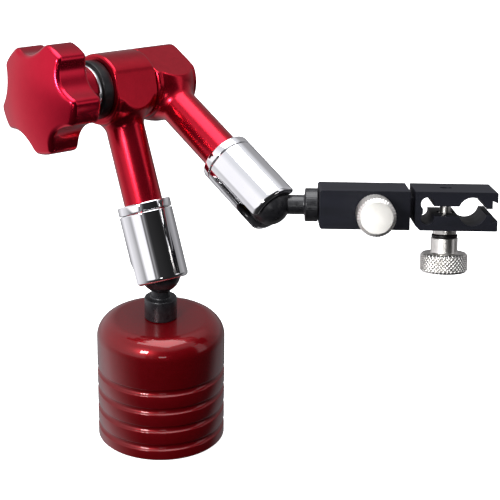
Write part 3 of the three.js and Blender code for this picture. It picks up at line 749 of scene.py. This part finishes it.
def clamp_body():
    """The clamp block: dovetail jaws, stem bore, slit, figure-eight relief and the thumbscrew's holes."""
    c, h, through = CLAMP, BLOCK_HEIGHT, BLOCK_DEPTH + 1
    low_corner = [(c["middle"], -h), (c["right"], -h, c["corner"]), (c["right"], -c["mouth"])]
    high_corner = [(c["right"], 0), (c["right"], h, c["corner"]), (c["middle"], h)]
    outline = [(c["left"], -h + c["chamfer"]), (c["left"] + c["chamfer"], -h),
               *rounded(low_corner)[1:-1],
               (c["right"], -c["mouth"]), (c["land_end"], -c["root"]), (c["land_end"], c["root"]),
               (c["right"], c["mouth"]), *rounded(high_corner)[1:-1],
               (c["left"], h)]
    body = prism("clamp", outline, -BLOCK_DEPTH, BLOCK_DEPTH, AT_BLOCK)
    cutters = [block_box(c["slit_left"], c["bore_x"], -through, through, -c["slit"], c["slit"]),
               block_box(c["bore_x"], c["land_end"] + 1, -through, through, -c["land"], c["land"]),
               drill(c["bore_x"], 0, c["bore"], -through, through, 128),
               drill(c["relief_x"], c["relief_z"], c["relief"], -through, through),
               drill(c["relief_x"], -c["relief_z"], c["relief"], -through, through),
               drill_down(c["screw_x"], c["top_hole"], 0, h + 1),
               drill_down(c["screw_x"], c["bottom_hole"], -h - 1, 0)]
    return carve(body, cutters, edge=c["edge"])


def clamp_tongue():
    """The clamp block's tongue, which fills the fine block's pocket and turns on the pivot pin."""
    t, root, through = TONGUE, CLAMP["left"] + TONGUE["into_block"], BLOCK_DEPTH + 2
    outline = rounded([(t["left"], t["low"], t["corner"]), (root, t["low"], 0), (root, t["high"], 0),
                       (t["left"], t["high"], t["corner"])], closed=True)
    tongue = prism("clamp_tongue", outline, -t["half"], t["half"], AT_BLOCK)
    cutters = [drill(PIVOT["x"], PIVOT["z"], PIVOT["hole"], -through, through, 32),
               drill(FINE["screw_x"], FINE["screw_z"], t["screw_hole"], -through, through, 48)]
    return carve(tongue, cutters, edge=t["edge"])


settle(clamp_body(), "clamp_block", "block_black")
tongue = clamp_tongue()
tongue.data.materials.append(MATERIALS["block_black"])
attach(tongue, "clamp_block")

AT_CLAMP_SCREW = AT_BLOCK @ Matrix.Translation((CLAMP["screw_x"] * MM, 0, 0))
settle(ring("clamp_collar", BUSH, AT_CLAMP_SCREW), "clamp_bush", "nickel")
settle(ring("clamp_ring", CLAMP_WASHER, AT_CLAMP_SCREW), "clamp_washer", "black_washer")


def thumbscrew():
    t = THUMB
    shaft = rounded([(t["radius"] - t["chamfer"], t["high"]), (t["collar"], t["high"], 0.3),
                     (t["collar"], t["collar_end"], 0.35), (t["neck"], t["collar_end"]),
                     (t["neck"], t["neck_end"]), (t["tip"], t["tip_start"]), (t["tip"], t["tip_end"], 0.3),
                     (0, t["tip_end"])], 0.1)
    return knurled_head("thumbscrew", AT_CLAMP_SCREW, t["radius"], t["low"], t["high"], t["chamfer"],
                        shaft[1:], t["knurl"], t["knurl_depth"])


settle(thumbscrew(), "clamp_screw", "nickel")

# ------------------------------------------------------------------ carried-over frame nodes

CARRIED = {"base_magnet": "magnet", "lower_ball_seat": "seat_bronze", "upper_ball_seat": "seat_bronze",
           "lower_push_rod": "bright_steel", "upper_push_rod": "bright_steel", "tie_bolt": "bright_steel",
           "knob_insert": "seat_bronze", "pivot_pin": "bright_steel", "return_spring": "bright_steel"}
for node, slot in CARRIED.items():
    NODES[node].data.materials.clear()
    NODES[node].data.materials.append(MATERIALS[slot])

# ------------------------------------------------------------------ studio

# sky tones by compass direction in degrees, 0 towards the camera and positive to the right
UPPER_TONES = [(-180, 0.25), (-150, 0.7), (-110, 1.0), (-40, 1.2), (-26, 1.1), (-22, 0.12), (-14, 0.35),
               (-8, 0.1), (0, 0.03), (56, 0.015), (68, 0.02), (74, 1.2), (86, 1.1), (92, 0.2), (130, 0.5),
               (180, 0.25)]
LOWER_TONES = [(-180, 0.1), (-140, 0.5), (-110, 1.0), (-85, 0.75), (-55, 0.2), (-35, 0.04), (40, 0.015),
               (100, 0.03), (125, 0.3), (180, 0.1)]
SKY_TINT = (0.99, 0.98, 1.02)
HORIZON = (-0.08, 0.02)
CEILING = (0.6, 0.8)
CEILING_COLOR = (0.85, 0.86, 0.9, 1)
FLOOR = {"size": 8.0, "height": -0.0002, "color": (0.9, 0.9, 0.9), "glow": 0.8}
CAMERA = {"place": (0.02614, -0.4746, 0.26728), "elevation": 23.59, "roll": -0.9, "lens": 127.9,
          "sensor": 36.0}
LIGHTS = (
    {"name": "key", "place": (-0.3, -0.55, 0.42), "target": (0.02, 0, 0.07), "size": (0.16, 0.16),
     "power": 4.5},
    {"name": "front", "place": (0.07, -0.75, 0.15), "target": (0.06, 0, 0.076), "size": (0.16, 0.08),
     "power": 0.28},
    {"name": "top", "place": (0.05, 0.05, 0.9), "target": (0.02, 0, 0), "size": (0.7, 0.7), "power": 8},
)


def area_light(name, place, target, size, power):
    lamp = bpy.data.lights.new(name, "AREA")
    lamp.shape = "RECTANGLE"
    lamp.size, lamp.size_y = size
    lamp.energy = power
    thing = bpy.data.objects.new(name, lamp)
    thing.location = place
    thing.rotation_euler = (Vector(target) - Vector(place)).to_track_quat("-Z", "Y").to_euler()
    bpy.context.scene.collection.objects.link(thing)


def compass_bands(nodes, links, compass, tones):
    """Brightness by compass direction, in degrees from the front, with positive angles to the right."""
    bands = nodes.new("ShaderNodeValToRGB")
    ramp = bands.color_ramp
    while len(ramp.elements) < len(tones):
        ramp.elements.new(0.5)
    for element, (degrees, tone) in zip(ramp.elements, tones):
        element.position = (degrees + 180) / 360
        element.color = (*(tone * part for part in SKY_TINT), 1)
    links.new(compass, bands.inputs["Fac"])
    return bands.outputs["Color"]


def blend_by_height(nodes, links, height, start, end, below, above):
    """One colour below a height of the sky and another above it.
    Sockets 6 and 7 of a colour mix are its two colours, and output 2 is the result."""
    share = nodes.new("ShaderNodeMapRange")
    share.inputs["From Min"].default_value = start
    share.inputs["From Max"].default_value = end
    links.new(height, share.inputs["Value"])
    mix = nodes.new("ShaderNodeMix")
    mix.data_type = "RGBA"
    links.new(share.outputs["Result"], mix.inputs["Factor"])
    links.new(below, mix.inputs[6])
    if isinstance(above, tuple):
        mix.inputs[7].default_value = above
    else:
        links.new(above, mix.inputs[7])
    return mix.outputs[2]


def studio_world():
    """A soft studio: light at the left and overhead, dark at the right, and a darker lower half."""
    world = bpy.data.worlds.new("studio")
    bpy.context.scene.world = world
    world.use_nodes = True
    nodes, links = world.node_tree.nodes, world.node_tree.links
    place = nodes.new("ShaderNodeTexCoord")
    parts = nodes.new("ShaderNodeSeparateXYZ")
    links.new(place.outputs["Generated"], parts.inputs["Vector"])
    back = nodes.new("ShaderNodeMath")
    back.operation = "MULTIPLY"
    back.inputs[1].default_value = -1
    links.new(parts.outputs["Y"], back.inputs[0])
    angle = nodes.new("ShaderNodeMath")
    angle.operation = "ARCTAN2"
    links.new(parts.outputs["X"], angle.inputs[0])
    links.new(back.outputs[0], angle.inputs[1])
    compass = nodes.new("ShaderNodeMapRange")
    compass.inputs["From Min"].default_value = -math.pi
    compass.inputs["From Max"].default_value = math.pi
    links.new(angle.outputs[0], compass.inputs["Value"])
    upper = compass_bands(nodes, links, compass.outputs["Result"], UPPER_TONES)
    lower = compass_bands(nodes, links, compass.outputs["Result"], LOWER_TONES)
    height = parts.outputs["Z"]
    sides = blend_by_height(nodes, links, height, *HORIZON, lower, upper)
    whole = blend_by_height(nodes, links, height, *CEILING, sides, CEILING_COLOR)
    links.new(whole, nodes["Background"].inputs["Color"])


def floor():
    """A wide white floor that glows, unseen by reflections, so that it stays as plain as the walls."""
    bpy.ops.mesh.primitive_plane_add(size=FLOOR["size"], location=(0, 0, FLOOR["height"]))
    plane = bpy.context.object
    plane.name = "floor"
    plane.visible_glossy = False
    plane.visible_diffuse = False
    material, _, _, principled = shader("floor", FLOOR["color"], 0.0, 0.6)
    principled.inputs["Emission Color"].default_value = (1, 1, 1, 1)
    principled.inputs["Emission Strength"].default_value = FLOOR["glow"]
    plane.data.materials.append(material)


def camera():
    """The camera looks along +Y, down by its elevation, with a slight roll."""
    elevation, roll = math.radians(CAMERA["elevation"]), math.radians(CAMERA["roll"])
    forward = Vector((0, math.cos(elevation), -math.sin(elevation)))
    down = Vector((0, -math.sin(elevation), -math.cos(elevation)))
    side = math.cos(roll) * RIGHT + math.sin(roll) * down
    upright = math.sin(roll) * RIGHT - math.cos(roll) * down
    lens = bpy.data.cameras.new("camera")
    lens.sensor_width = CAMERA["sensor"]
    lens.lens = CAMERA["lens"]
    lens.clip_start = 0.01
    thing = bpy.data.objects.new("camera", lens)
    bpy.context.scene.collection.objects.link(thing)
    thing.matrix_world = Matrix((side, upright, -forward)).transposed().to_4x4()
    thing.matrix_world.translation = Vector(CAMERA["place"])
    bpy.context.scene.camera = thing


studio_world()
floor()
camera()
for light in LIGHTS:
    area_light(**light)
bpy.context.scene.view_settings.view_transform = "Standard"
